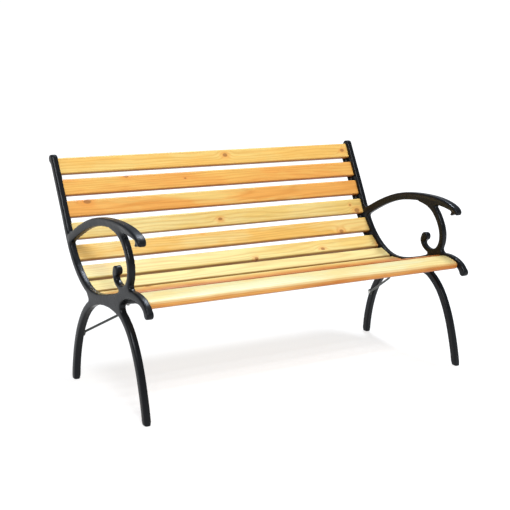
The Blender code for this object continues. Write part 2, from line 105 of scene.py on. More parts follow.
def cloud(tree, where, scale, detail=3.0, roughness=0.55):
    """A soft random pattern from 0 to 1."""
    made = node(
        tree, "ShaderNodeTexNoise",
        {"Vector": where, "Scale": scale, "Detail": detail, "Roughness": roughness},
    )
    return made.outputs["Fac"]


def new_group(name, inputs, outputs):
    """An empty node group with named sockets. Each is (name, kind) or (name, kind, value)."""
    group = bpy.data.node_groups.new(name, "ShaderNodeTree")
    for label, kind, *value in inputs:
        socket = group.interface.new_socket(label, in_out="INPUT", socket_type=kind)
        if value:
            socket.default_value = value[0]
    for label, kind in outputs:
        group.interface.new_socket(label, in_out="OUTPUT", socket_type=kind)
    return group, group.nodes.new("NodeGroupInput").outputs, group.nodes.new("NodeGroupOutput")


def new_material(name):
    made = bpy.data.materials.new(name)
    made.use_nodes = True
    return made, made.node_tree, made.node_tree.nodes["Principled BSDF"]


def use_group(tree, group, inputs):
    return node(tree, "ShaderNodeGroup", inputs, node_tree=group).outputs


FLOAT, VECTOR = "NodeSocketFloat", "NodeSocketVector"
print("helpers ready")

# %% [markdown]
# ## Wear that collects on edges, and dust that settles on top
#
# Paint thins on the edges that hands and cloths rub, so the metal parts share one effect. Pointiness tells
# how sharply the surface bends at a point. Noise breaks the mask up, because real wear is patchy. Dust
# lies only on faces that look up, so that mask comes from the surface's own direction.

# %% Edge wear and dust group
wear_group, wear_in, wear_out = new_group(
    "rubbed_edges_and_dust",
    [("Place", VECTOR), ("Patch Scale", FLOAT, 40.0), ("Edge Start", FLOAT, 0.52)],
    [("Edge", FLOAT), ("Dust", FLOAT), ("Smear", FLOAT)],
)
surface = node(wear_group, "ShaderNodeNewGeometry").outputs
patches = cloud(wear_group, wear_in["Place"], wear_in["Patch Scale"], detail=5.0)
raised = maths(wear_group, "SUBTRACT", surface["Pointiness"], wear_in["Edge Start"])
raised = maths(wear_group, "MULTIPLY", raised, 14.0, clamp=True)
edge_mask = maths(wear_group, "MULTIPLY", raised, between(wear_group, patches, 0.42, 0.66))
up = node(wear_group, "ShaderNodeSeparateXYZ", {0: surface["Normal"]}).outputs["Z"]
dust_cloud = cloud(wear_group, wear_in["Place"], 9.0, detail=6.0, roughness=0.7)
dust_mask = maths(
    wear_group, "MULTIPLY", between(wear_group, up, 0.35, 0.95), between(wear_group, dust_cloud, 0.35, 0.75)
)
smears = cloud(wear_group, wear_in["Place"], 14.0, detail=2.0)
wear_group.links.new(edge_mask, wear_out.inputs["Edge"])
wear_group.links.new(dust_mask, wear_out.inputs["Dust"])
wear_group.links.new(smears, wear_out.inputs["Smear"])
print("group", wear_group.name)

# %% [markdown]
# ## Cast and painted surfaces
#
# A sand casting keeps a faint pebbled skin under its paint. Two sizes of noise make it: a soft one, one
# or two centimetres across, for the unevenness of the mould, and a fine one, of two millimetres or so, for
# the sand itself. Shallow round cells between them stand for the small pits that gas leaves.

# %% Cast skin group
skin_group, skin_in, skin_out = new_group(
    "cast_skin",
    [("Place", VECTOR), ("Pebble Scale", FLOAT, 420.0), ("Swell Scale", FLOAT, 60.0)],
    [("Height", FLOAT), ("Shade", FLOAT)],
)
pebbles = cloud(skin_group, skin_in["Place"], skin_in["Pebble Scale"], detail=4.0, roughness=0.6)
swells = cloud(skin_group, skin_in["Place"], skin_in["Swell Scale"], detail=2.0)
pits = node(
    skin_group, "ShaderNodeTexVoronoi", {"Vector": skin_in["Place"], "Scale": 260.0}, feature="F1"
).outputs["Distance"]
pit_depth = between(skin_group, pits, 0.05, 0.25, -1.0, 0.0)
skin_height = maths(skin_group, "MULTIPLY_ADD", pebbles, 0.45, maths(skin_group, "MULTIPLY", swells, 1.2))
skin_height = maths(skin_group, "MULTIPLY_ADD", pit_depth, 0.12, skin_height)
skin_group.links.new(skin_height, skin_out.inputs["Height"])
skin_group.links.new(swells, skin_out.inputs["Shade"])
print("group", skin_group.name)

# %% [markdown]
# ## Satin paint on iron and steel
#
# The end frames are painted satin black: nearly black, a little bluish, with a shine that changes softly
# from place to place. The thin stays are a satin dark grey. One function makes both paints, and on rubbed
# edges each is polished and a little paler.

# %% Paint on iron and steel
SETTLED_DUST = (0.14, 0.15, 0.17, 1.0)
DEEP_SHADE = 0.72


def painted_metal(name, colour, rubbed, roughness, bump, edge_start=0.52):
    """A satin paint over metal: colour, roughness and bump all vary over the surface."""
    made, tree, shader = new_material(name)
    place = node(tree, "ShaderNodeTexCoord").outputs["Object"]
    wear = use_group(tree, wear_group, {"Place": place, "Patch Scale": 38.0, "Edge Start": edge_start})
    skin = use_group(tree, skin_group, {"Place": place})
    deep = tuple(value * DEEP_SHADE for value in colour)
    paint = mix_colour(tree, skin["Shade"], (*deep, 1.0), (*colour, 1.0))
    paint = mix_colour(tree, maths(tree, "MULTIPLY", wear["Edge"], 0.55), paint, (*rubbed, 1.0))
    dusty = maths(tree, "MULTIPLY", wear["Dust"], 0.07)
    paint = mix_colour(tree, dusty, paint, SETTLED_DUST)
    shine = between(tree, wear["Smear"], 0.3, 0.7, roughness - 0.04, roughness + 0.07)
    shine = maths(tree, "MULTIPLY_ADD", wear["Edge"], -0.10, shine)
    shine = maths(tree, "MULTIPLY_ADD", wear["Dust"], 0.07, shine, clamp=True)
    relief = node(
        tree, "ShaderNodeBump", {"Height": skin["Height"], "Strength": 0.4, "Distance": bump}
    )
    tree.links.new(paint, shader.inputs["Base Color"])
    tree.links.new(shine, shader.inputs["Roughness"])
    tree.links.new(relief.outputs["Normal"], shader.inputs["Normal"])
    shader.inputs["Specular IOR Level"].default_value = 0.19
    shader.inputs["Specular Tint"].default_value = (0.86, 0.91, 1.0, 1.0)
    return made


IRON_PAINT = painted_metal(
    "satin_black_iron", colour=(0.0050, 0.0053, 0.0056), rubbed=(0.030, 0.033, 0.038),
    roughness=0.28, bump=0.0006,
)
STAY_PAINT = painted_metal(
    "satin_grey_steel", colour=(0.070, 0.076, 0.070), rubbed=(0.14, 0.14, 0.13),
    roughness=0.38, bump=0.0002,
)
print("paints", IRON_PAINT.name, STAY_PAINT.name)

# %% [markdown]
# ## Zinc plate on screws and bolts
#
# Zinc plating is a dull grey metal with a cloudy, slightly yellow bloom. It is metallic all over, so its
# colour, its roughness and a very fine relief vary instead, and the rubbed edges are brighter.

# %% Zinc
ZINC, zinc_tree, zinc_shader = new_material("zinc_plate")
zinc_place = node(zinc_tree, "ShaderNodeTexCoord").outputs["Object"]
zinc_wear = use_group(zinc_tree, wear_group, {"Place": zinc_place, "Patch Scale": 300.0, "Edge Start": 0.5})
bloom = cloud(zinc_tree, zinc_place, 700.0, detail=4.0)
zinc_colour = mix_colour(zinc_tree, bloom, (0.34, 0.35, 0.36, 1.0), (0.56, 0.55, 0.51, 1.0))
zinc_colour = mix_colour(zinc_tree, zinc_wear["Edge"], zinc_colour, (0.72, 0.72, 0.70, 1.0))
zinc_shine = between(zinc_tree, bloom, 0.3, 0.7, 0.32, 0.5)
zinc_relief = node(zinc_tree, "ShaderNodeBump", {"Height": bloom, "Strength": 0.3, "Distance": 0.0001})
zinc_tree.links.new(zinc_colour, zinc_shader.inputs["Base Color"])
zinc_tree.links.new(zinc_shine, zinc_shader.inputs["Roughness"])
zinc_tree.links.new(zinc_relief.outputs["Normal"], zinc_shader.inputs["Normal"])
zinc_shader.inputs["Metallic"].default_value = 0.9
print("metal", ZINC.name)

# %% [markdown]
# ## Timber: rings, fibres and knots
#
# A board is a slice of a log. Its grain is made the way a tree makes it: rings around a centre that lies
# a few centimetres below the board, bent by slow noise and pushed aside round each knot, so that arches
# and ovals show on the face. Each board carries its own coordinates, along, across and through it, so that
# the grain follows the board however it is tilted on the bench. Long thin noise gives the fibres. Small
# knots fall where chance puts them, and a board can also be given one knot at a chosen place.

# %% Knots group
knot_group, knot_in, knot_out = new_group(
    "timber_knots", [("Place", VECTOR), ("Share", FLOAT, 0.5)], [("Distance", FLOAT), ("Size", FLOAT)]
)
KNOT_CELLS = (3.6, 13.0, 0.5)
cells_at = vector_maths(knot_group, "MULTIPLY", knot_in["Place"], KNOT_CELLS)
cells = node(
    knot_group, "ShaderNodeTexVoronoi", {"Vector": cells_at, "Scale": 1.0, "Randomness": 0.8}, feature="F1"
).outputs
to_knot = vector_maths(knot_group, "SUBTRACT", cells_at, cells["Position"])
to_knot = vector_maths(knot_group, "MULTIPLY", to_knot, (0.72 / KNOT_CELLS[0], 1.0 / KNOT_CELLS[1], 0.0))
knot_distance = vector_maths(knot_group, "LENGTH", to_knot, output="Value")
chance = node(knot_group, "ShaderNodeSeparateColor", {0: cells["Color"]}).outputs
present = maths(knot_group, "LESS_THAN", chance[0], knot_in["Share"])
knot_size = maths(knot_group, "MULTIPLY_ADD", chance[1], 0.006, 0.0035)
knot_size = maths(knot_group, "MULTIPLY", knot_size, present)
knot_group.links.new(knot_distance, knot_out.inputs["Distance"])
knot_group.links.new(knot_size, knot_out.inputs["Size"])
print("group", knot_group.name)

# %% Grain group
def length_of(tree, across, along):
    """The length of a flat arrow from its two sides."""
    squares = [maths(tree, "POWER", side_length, 2.0) for side_length in (across, along)]
    return maths(tree, "SQRT", maths(tree, "ADD", *squares))


grain_group, grain_in, grain_out = new_group(
    "timber_grain",
    [("Place", VECTOR), ("Shift", FLOAT), ("Ring Width", FLOAT, 0.006), ("Chosen Knot", VECTOR)],
    [("Late Wood", FLOAT), ("Fibre", FLOAT), ("Blotch", FLOAT), ("Knot", FLOAT), ("Halo", FLOAT)],
)
TINY = 0.00001
APART_PER_SHIFT = (1.37, 0.083, 0.019)
apart = vector_maths(grain_group, "SCALE", APART_PER_SHIFT)
grain_group.links.new(grain_in["Shift"], apart.node.inputs["Scale"])
spot = vector_maths(grain_group, "ADD", grain_in["Place"], apart)
knots = use_group(grain_group, knot_group, {"Place": spot, "Share": 0.28})
reach = maths(grain_group, "DIVIDE", knots["Distance"], maths(grain_group, "ADD", knots["Size"], TINY))
chosen = node(grain_group, "ShaderNodeSeparateXYZ", {0: grain_in["Chosen Knot"]}).outputs
here = node(grain_group, "ShaderNodeSeparateXYZ", {0: grain_in["Place"]}).outputs
ahead = maths(grain_group, "MULTIPLY", maths(grain_group, "SUBTRACT", here["X"], chosen["X"]), 0.6)
aside = maths(grain_group, "SUBTRACT", here["Y"], chosen["Y"])
apart_from_it = length_of(grain_group, ahead, aside)
chosen_size = maths(grain_group, "MAXIMUM", chosen["Z"], TINY)
reach = maths(grain_group, "MINIMUM", reach, maths(grain_group, "DIVIDE", apart_from_it, chosen_size))
fade = maths(grain_group, "MULTIPLY", maths(grain_group, "POWER", reach, 2.0), -0.16)
bend = maths(grain_group, "EXPONENT", fade)
bend = maths(grain_group, "MULTIPLY", bend, maths(grain_group, "MULTIPLY", knots["Size"], 1.5))
slow = vector_maths(grain_group, "MULTIPLY", spot, (1.6, 9.0, 9.0))
slow_noise = cloud(grain_group, slow, 1.0, detail=2.0)
fine = vector_maths(grain_group, "MULTIPLY", spot, (9.0, 60.0, 60.0))
fine_noise = cloud(grain_group, fine, 1.0, detail=2.0)
tilt = maths(grain_group, "SINE", maths(grain_group, "MULTIPLY", grain_in["Shift"], 2.4))
off_side = maths(grain_group, "MULTIPLY", tilt, 0.05)
side = maths(grain_group, "SUBTRACT", here["Y"], off_side)
side = maths(grain_group, "MULTIPLY_ADD", here["X"], maths(grain_group, "MULTIPLY", tilt, 0.02), side)
below = maths(grain_group, "ADD", here["Z"], 0.05)
below = maths(grain_group, "MULTIPLY_ADD", here["X"], 0.012, below)
radius = length_of(grain_group, side, below)
radius = maths(grain_group, "MULTIPLY_ADD", slow_noise, 0.030, radius)
radius = maths(grain_group, "MULTIPLY_ADD", fine_noise, 0.0016, radius)
radius = maths(grain_group, "ADD", radius, bend)
turns = maths(grain_group, "MULTIPLY", maths(grain_group, "DIVIDE", radius, grain_in["Ring Width"]), math.tau)
ring = maths(grain_group, "MULTIPLY_ADD", maths(grain_group, "SINE", turns), 0.5, 0.5)
late_wood = maths(grain_group, "POWER", ring, 2.6)
threads = vector_maths(grain_group, "MULTIPLY", spot, (7.0, 520.0, 520.0))
fibre = cloud(grain_group, threads, 1.0, detail=4.0, roughness=0.65)
patch = vector_maths(grain_group, "MULTIPLY", spot, (3.4, 15.0, 15.0))
blotch = cloud(grain_group, patch, 1.0, detail=3.0, roughness=0.6)
knot_mask = between(grain_group, reach, 0.7, 1.15, 1.0, 0.0)
halo = between(grain_group, reach, 0.9, 3.2, 1.0, 0.0)
for label, value in (
    ("Late Wood", late_wood), ("Fibre", fibre), ("Blotch", blotch), ("Knot", knot_mask), ("Halo", halo)
):
    grain_group.links.new(value, grain_out.inputs[label])
print("group", grain_group.name)

# %% [markdown]
# ## Varnished boards
#
# The boards are pine under a clear honey varnish. No two are the same: some are pale yellow and some
# nearly orange, so each board carries its own two tones as colours on its mesh, and one material serves
# them all. The tone warms a little towards the right-hand end. Painted shade darkens the side faces and
# rounded long edges, most on the lower or front side, and the varnish gives a thin clear coat.

# %% Varnished timber material
TIMBER, timber_tree, timber_shader = new_material("varnished_pine")
RING_WIDTH = 0.0062
LATE_TINT = (0.80, 0.62, 0.45, 1.0)
HALO_COLOUR = (0.62, 0.22, 0.04, 1.0)
KNOT_COLOUR = (0.27, 0.11, 0.03, 1.0)
# The colour that the painted edge shade multiplies in
EDGE_SHADE_TINT = (0.36, 0.18, 0.07, 1.0)


def carried(tree, name):
    """Reads a value that a piece's own mesh carries."""
    return node(tree, "ShaderNodeAttribute", attribute_name=name, attribute_type="GEOMETRY").outputs


board_place = carried(timber_tree, "board_place")["Vector"]
board_shift = carried(timber_tree, "board_shift")["Fac"]
pale_tone = carried(timber_tree, "pale_tone")["Color"]
warm_tone = carried(timber_tree, "warm_tone")["Color"]
painted_edge_shade = carried(timber_tree, "painted_edge_shade")["Fac"]
chosen_knot = carried(timber_tree, "chosen_knot")["Vector"]
grain = use_group(
    timber_tree, grain_group,
    {"Place": board_place, "Shift": board_shift, "Ring Width": RING_WIDTH, "Chosen Knot": chosen_knot},
)
warmth = between(timber_tree, grain["Blotch"], 0.36, 0.66)
along_board = node(timber_tree, "ShaderNodeSeparateXYZ", {0: board_place}).outputs["X"]
warmer_end = between(timber_tree, along_board, -0.35, 0.60, 0.0, 0.45)
warmth = maths(timber_tree, "ADD", warmth, warmer_end, clamp=True)
wood = mix_colour(timber_tree, warmth, pale_tone, warm_tone)
late_share = maths(timber_tree, "MULTIPLY", grain["Late Wood"], 0.42)
late_colour = mix_colour(timber_tree, 1.0, warm_tone, LATE_TINT, "MULTIPLY")
wood = mix_colour(timber_tree, late_share, wood, late_colour)
streak = between(timber_tree, grain["Fibre"], 0.3, 0.7, 0.86, 1.06)
streak_colour = node(timber_tree, "ShaderNodeCombineColor", {0: streak, 1: streak, 2: streak}).outputs[0]
wood = mix_colour(timber_tree, 1.0, wood, streak_colour, "MULTIPLY")
wood = mix_colour(timber_tree, maths(timber_tree, "MULTIPLY", grain["Halo"], 0.45), wood, HALO_COLOUR)
wood = mix_colour(timber_tree, maths(timber_tree, "MULTIPLY", grain["Knot"], 0.8), wood, KNOT_COLOUR)
# Painted shade: side faces and rounded long edges are darkened, most on the lower or front side
edge_shade_colour = mix_colour(timber_tree, 1.0, wood, EDGE_SHADE_TINT, "MULTIPLY")
wood = mix_colour(timber_tree, maths(timber_tree, "MULTIPLY", painted_edge_shade, 0.9), wood, edge_shade_colour)
wood_shine = between(timber_tree, grain["Fibre"], 0.3, 0.75, 0.38, 0.50)
wood_shine = maths(timber_tree, "MULTIPLY_ADD", grain["Late Wood"], -0.05, wood_shine)
late_height = maths(timber_tree, "MULTIPLY", grain["Late Wood"], 0.35)
wood_height = maths(timber_tree, "MULTIPLY_ADD", grain["Fibre"], 0.5, late_height)
wood_relief = node(
    timber_tree, "ShaderNodeBump", {"Height": wood_height, "Strength": 0.4, "Distance": 0.0003}
)
timber_tree.links.new(wood, timber_shader.inputs["Base Color"])
timber_tree.links.new(wood_shine, timber_shader.inputs["Roughness"])
timber_tree.links.new(wood_relief.outputs["Normal"], timber_shader.inputs["Normal"])
timber_shader.inputs["Specular IOR Level"].default_value = 0.22
timber_shader.inputs["Coat Weight"].default_value = 0.10
timber_shader.inputs["Coat Roughness"].default_value = 0.34
print("timber", TIMBER.name)

# %% [markdown]
# ## Copying an engineer's solid
#
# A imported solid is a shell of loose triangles. A copy has its doubled corners merged first, so that the
# triangles share corners and later steps see one skin. The solid itself is never changed.

# %% Copy and finish helpers
SAME_CORNER = 0.000002


def add_object(name, mesh):
    made = bpy.data.objects.new(name, mesh)
    scene.collection.objects.link(made)
    return made


def merged_copy(node_name, name):
    shape = bmesh.new()
    shape.from_mesh(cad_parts[node_name].data)
    bmesh.ops.remove_doubles(shape, verts=shape.verts, dist=SAME_CORNER)
    mesh = bpy.data.meshes.new(name)
    shape.to_mesh(mesh)
    shape.free()
    return add_object(name, mesh)


def finish_modifiers(piece):
    """Keeps the shape that the modifiers make, and removes them."""
    bpy.context.view_layer.update()
    graph = bpy.context.evaluated_depsgraph_get()
    mesh = bpy.data.meshes.new_from_object(piece.evaluated_get(graph))
    piece.modifiers.clear()
    old = piece.data
    piece.data = mesh
    bpy.data.meshes.remove(old)
    mesh.name = piece.name


def hand_over(piece, node_name, material, smooth=True):
    """Gives a finished piece its material and its body, and hides the solid that it stands for."""
    piece.data.materials.clear()
    piece.data.materials.append(material)
    for face in piece.data.polygons:
        face.use_smooth = smooth
    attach(piece, "root")
    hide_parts(node_name)


print("copy helpers ready")

# %% [markdown]
# ## The cast end frames
#
# Molten iron can't fill a sharp inside corner, and a pattern maker rounds every outside one, so a casting
# flows from limb to limb. Rounding each meeting by hand would be slow. A new skin of small even faces is
# wrapped round the whole solid instead, swollen by a few millimetres so that the inside corners close up,
# wrapped again, and shrunk back, which leaves a fillet in each. Smoothing then eases the outside edges,
# and more of it wears the rims of the feet. The narrow shelf that carries the boards must keep its place,
# so the swelling leaves it out, and so does all the smoothing but the last light round.

# %% Wrap, swell and relax
CAST_GRID, FILLET = 0.0024, 0.0045
FOOT_ROUNDING = 0.012
BOARD_CLEARANCE = 0.0003
SHELF_FADE = 0.004
LIMB_MARGIN = 0.001
INNER_FACE = max(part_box(name)[1].x for name in BOARDS) + BOARD_CLEARANCE


def wrap(piece, grid):
    """A new even skin over the piece, with faces about as large as the grid."""
    skin = piece.modifiers.new("wrap", "REMESH")
    skin.mode = "VOXEL"
    skin.voxel_size = grid
    finish_modifiers(piece)


def points_of(mesh):
    flat = np.empty(len(mesh.vertices) * 3)
    mesh.vertices.foreach_get("co", flat)
    return flat.reshape(-1, 3)


def limb_share(points):
    """1 on the limbs, falling to 0 on the shelf that reaches in towards the boards."""
    return np.clip((np.abs(points[:, 0]) - INNER_FACE) / SHELF_FADE, 0.0, 1.0)


def swell(piece, distance):
    mesh = piece.data
    points = points_of(mesh)
    normals = np.empty(len(mesh.vertices) * 3)
    mesh.vertex_normals.foreach_get("vector", normals)
    share = limb_share(points)[:, None]
    points += normals.reshape(-1, 3) * share * distance
    mesh.vertices.foreach_set("co", points.ravel())
    mesh.update()


def anywhere(place):
    return True


def on_a_limb(place):
    return abs(place.x) > INNER_FACE + LIMB_MARGIN


def on_a_foot(place):
    return place.z < FOOT_ROUNDING


def relax(piece, rounds, chosen_place=anywhere):
    """Evens the skin out where its points lie in the chosen place."""
    shape = bmesh.new()
    shape.from_mesh(piece.data)
    chosen = [v for v in shape.verts if chosen_place(v.co)]
    for _ in range(rounds):
        bmesh.ops.smooth_vert(
            shape, verts=chosen, factor=0.5, use_axis_x=True, use_axis_y=True, use_axis_z=True
        )
    shape.to_mesh(piece.data)
    shape.free()


def keep_in_box(piece, node_name):
    """Presses anything that stands out of the solid's own box back to its sides."""
    low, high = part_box(node_name)
    points = np.clip(points_of(piece.data), low, high)
    piece.data.vertices.foreach_set("co", points.ravel())
    piece.data.update()


print("inner face of a frame at", round(INNER_FACE, 4))

# %% The two castings
for node_name in IRON_FRAMES:
    casting = merged_copy(node_name, "cast_" + node_name)
    wrap(casting, CAST_GRID)
    relax(casting, 2, on_a_limb)
    swell(casting, FILLET)
    wrap(casting, CAST_GRID)
    relax(casting, 2, on_a_limb)
    swell(casting, -FILLET)
    relax(casting, 7, on_a_limb)
    relax(casting, 2)
    relax(casting, 16, on_a_foot)
    keep_in_box(casting, node_name)
    hand_over(casting, node_name, IRON_PAINT)
    print(casting.name, len(casting.data.polygons), "faces")

# %% [markdown]
# ## The timber boards
#
# Each straight board is a planed length of timber with its four long edges rounded over by a cutter and
# its ends just eased with sandpaper. A cube, stretched and bevelled, is exactly that. Its place is read
# from the solid it stands for: the widest face gives the direction that the board faces.

# %% Where a board lies
def board_frame(node_name):
    """The board's own axes (along, across, out of its face) about its middle, and its size."""
    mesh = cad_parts[node_name].data
    out = max(mesh.polygons, key=lambda face: face.area).normal.copy()
    if out.dot(Vector((0.0, -0.6, 1.0))) < 0.0:
        out.negate()
    out.x = 0.0
    out.normalize()
    along = Vector((1.0, 0.0, 0.0))
    turn = Matrix((along, out.cross(along), out))
    local = points_of(mesh) @ np.array(turn.transposed())
    low, high = local.min(0), local.max(0)
    middle = turn.transposed() @ Vector((low + high) / 2)
    return Matrix.Translation(middle) @ turn.transposed().to_4x4(), Vector(high - low)


for name in BOARDS[:2]:
    print(name, [round(v * 1000, 1) for v in board_frame(name)[1]], "mm")

# %% Shape and mark a board
ROUND_OVER, EASED_END = 0.0060, 0.0010
ON_THE_END = 0.0001


def saw_board(size):
    """A board about the origin: stretched cube, long edges rounded over, ends eased."""
    board = bmesh.new()
    bmesh.ops.create_cube(board, size=1.0)
    bmesh.ops.scale(board, vec=size, verts=board.verts)
    long_edges = [e for e in board.edges if abs(e.verts[0].co.x - e.verts[1].co.x) > size.x / 2]
    bmesh.ops.bevel(
        board, geom=long_edges, offset=ROUND_OVER, segments=6, profile=0.5, affect="EDGES", material=-1
    )
    rims = [
        e for e in board.edges
        if abs(e.verts[0].co.x - e.verts[1].co.x) < ON_THE_END
        and abs(e.verts[0].co.x) > size.x / 2 - ON_THE_END
    ]
    bmesh.ops.bevel(board, geom=rims, offset=EASED_END, segments=2, profile=0.5, affect="EDGES", material=-1)
    return board


def carry(mesh, name, kind, values):
    """Stores one value for each corner of the mesh, for the material to read."""
    field = {"FLOAT": "value", "FLOAT_VECTOR": "vector", "FLOAT_COLOR": "color"}[kind]
    made = mesh.attributes.new(name, kind, "POINT")
    made.data.foreach_set(field, np.asarray(values, dtype=np.float32).ravel())


def mark_timber(mesh, own_points, size, shift, pale, warm, knot):
    """Gives a board its own coordinates, tones, knot and painted edge shade."""
    count = len(mesh.vertices)
    carry(mesh, "chosen_knot", "FLOAT_VECTOR", np.tile(knot, (count, 1)))
    carry(mesh, "board_place", "FLOAT_VECTOR", own_points)
    carry(mesh, "board_shift", "FLOAT", np.full(count, shift))
    carry(mesh, "pale_tone", "FLOAT_COLOR", np.tile((*pale, 1.0), (count, 1)))
    carry(mesh, "warm_tone", "FLOAT_COLOR", np.tile((*warm, 1.0), (count, 1)))
    # Painted shade on side faces and rounded edges: full on the lower or front side, faint on the other
    low_side_shade = np.clip(1.0 - (size.y / 2 + own_points[:, 1]) / (ROUND_OVER * 0.7), 0.0, 1.0)
    high_side_shade = np.clip(1.0 - (size.y / 2 - own_points[:, 1]) / (ROUND_OVER * 0.4), 0.0, 1.0)
    carry(mesh, "painted_edge_shade", "FLOAT", np.maximum(low_side_shade, high_side_shade * 0.3))


def repaint(mesh, name, upper, lower, share):
    """Blends a tone that a board carries from one colour to another."""
    tones = (1.0 - share[:, None]) * np.array((*upper, 1.0)) + share[:, None] * np.array((*lower, 1.0))
    mesh.attributes[name].data.foreach_set("color", tones.astype(np.float32).ravel())


print("board tools ready")

# %% [markdown]
# ### The tones of the boards
#
# Boards from a mixed bundle of timber differ. The upper back boards lean to orange, the lower ones and the
# rear of the seat are pale yellow, and the seat boards further forward are darker, down to rust. The second
# seat board turns orange towards its front, all but its rear edge. Tones are listed from the top board down,
# and each pair is a pale tone and a warm one.

# %% Tones
HONEY, ORANGE, STRAW, AMBER = (0.66, 0.47, 0.15), (0.65, 0.31, 0.07), (0.69, 0.56, 0.24), (0.67, 0.40, 0.10)
# The cream tone stands for a painted highlight on the top of the front board
BUTTER, RUST, CREAM_HIGHLIGHT = (0.68, 0.58, 0.24), (0.50, 0.17, 0.025), (0.66, 0.66, 0.40)
TONES = {
    "back_slat_1": (HONEY, AMBER), "back_slat_2": (AMBER, ORANGE), "back_slat_3": (HONEY, ORANGE),
    "back_slat_4": (STRAW, HONEY), "back_slat_5": (STRAW, AMBER), "back_slat_6": (BUTTER, HONEY),
    "seat_slat_1": (BUTTER, STRAW), "seat_slat_2": (BUTTER, HONEY), "seat_slat_3": (AMBER, ORANGE),
    "seat_slat_4": (ORANGE, RUST), "seat_slat_5": (RUST, RUST), "front_nosing": (CREAM_HIGHLIGHT, STRAW),
}
# A knot at a chosen place: how far along the board, how far across it, and its radius
NO_KNOT = (0.0, 0.0, 0.0)
KNOTS = {
    "back_slat_2": (-0.135, 0.004, 0.0030), "back_slat_3": (-0.515, 0.020, 0.0085),
    "back_slat_4": (-0.035, -0.004, 0.0055), "seat_slat_4": (0.230, 0.006, 0.0050),
}
print(len(TONES), "tones for", len(BOARDS), "boards")

# %% Lay the straight boards
GRAIN_STEP, GRAIN_START = 1.7, 0.4
ORANGE_BAND_START, ORANGE_BAND_BLEND = 0.22, 0.14
straight = [name for name in BOARDS if name != "front_nosing"]
for number, node_name in enumerate(straight):
    lie, size = board_frame(node_name)
    board = saw_board(size)
    mesh = bpy.data.meshes.new("timber_" + node_name)
    board.to_mesh(mesh)
    board.free()
    pale, warm = TONES[node_name]
    knot = KNOTS.get(node_name, NO_KNOT)
    own_points = points_of(mesh)
    mark_timber(mesh, own_points, size, number * GRAIN_STEP + GRAIN_START, pale, warm, knot)
    if node_name == "seat_slat_2":
        across = own_points[:, 1] / size.y
        orange_band = np.clip((ORANGE_BAND_START - across) / ORANGE_BAND_BLEND, 0.0, 1.0)
        repaint(mesh, "pale_tone", pale, ORANGE, orange_band)
        repaint(mesh, "warm_tone", warm, RUST, orange_band)
    mesh.transform(lie)
    piece = add_object(mesh.name, mesh)
    hand_over(piece, node_name, TIMBER)
    flats = piece.modifiers.new("flat faces stay flat", "WEIGHTED_NORMAL")
    flats.keep_sharp = True
print("laid", len(straight), "boards")

# %% [markdown]
# ## The rolled front board
#
# The front board is shaped to the roll of the seat rail, so it has no flat faces to bevel. Its solid is
# faceted round the curve. The same kind of skin that served the castings, well smoothed, makes it round.
# Its top is a painted cream highlight, and painted shade turns it orange down the front of the roll and
# darker underneath, so its tones are blended by height.

# %% Front board
NOSING_GRID, NOSING_GRAIN = 0.0026, 23.1
ROLL_SHADE_TOP, ROLL_SHADE_BLEND = 0.72, 0.34
UNDER_SHADE_TOP, UNDER_SHADE_BLEND = 0.16, 0.12
nosing = merged_copy("front_nosing", "timber_front_nosing")
wrap(nosing, NOSING_GRID)
relax(nosing, 6)
nosing_low, nosing_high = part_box("front_nosing")
nosing_size = nosing_high - nosing_low
nosing_points = points_of(nosing.data) - np.array((nosing_low + nosing_high) / 2)
mark_timber(nosing.data, nosing_points, nosing_size, NOSING_GRAIN, *TONES["front_nosing"], NO_KNOT)
how_high = nosing_points[:, 2] / nosing_size.z + 0.5
# Painted shade: below a set height the front of the roll turns orange and rust; the cream top above it is a
# painted highlight
front_roll_shade = np.clip((ROLL_SHADE_TOP - how_high) / ROLL_SHADE_BLEND, 0.0, 1.0)
repaint(nosing.data, "pale_tone", CREAM_HIGHLIGHT, ORANGE, front_roll_shade)
repaint(nosing.data, "warm_tone", STRAW, RUST, front_roll_shade)
# Painted shade: the underside of the front board is darkened
under_shade = np.clip((UNDER_SHADE_TOP - how_high) / UNDER_SHADE_BLEND, 0.0, 1.0)
nosing.data.attributes["painted_edge_shade"].data.foreach_set("value", under_shade.astype(np.float32))
hand_over(nosing, "front_nosing", TIMBER)
print(nosing.name, len(nosing.data.polygons), "faces")

# %% [markdown]
# ## Stays and their bolts
#
# A stay is a bent rod with each end hammered flat into an eye. Wrapping its solid in a fine skin blends
# rod into eye as a smith's hammer does. The bolts have sharp factory edges, so a small bevel serves them.

# %% Stays and bolts
STAY_GRID = 0.0008
FLAT_ANGLE, SHARP_ANGLE, BOLT_BEVEL = 0.02, 0.6, 0.0004
for node_name in STAYS:
    stay = merged_copy(node_name, "rod_" + node_name)
    wrap(stay, STAY_GRID)
    relax(stay, 4)
    hand_over(stay, node_name, STAY_PAINT)
    print(stay.name, len(stay.data.polygons), "faces")

for node_name in BOLTS:
    bolt = merged_copy(node_name, "hex_" + node_name)
    shape = bmesh.new()
    shape.from_mesh(bolt.data)
    bmesh.ops.dissolve_limit(shape, angle_limit=FLAT_ANGLE, verts=shape.verts, edges=shape.edges)
    sharp = [e for e in shape.edges if e.is_manifold and e.calc_face_angle() > SHARP_ANGLE]
    bmesh.ops.bevel(
        shape, geom=sharp, offset=BOLT_BEVEL, segments=2, profile=0.5, affect="EDGES", material=-1
    )
    shape.to_mesh(bolt.data)
    shape.free()
    hand_over(bolt, node_name, ZINC, smooth=False)
print(len(BOLTS), "bolts")

# %% [markdown]
# ## Wood screws
#
# A round-head screw is turned, so half its outline is spun about its axis. The slot is then sawn across
# the head. One screw of each length is made with care, and each place gets a copy of its mesh.

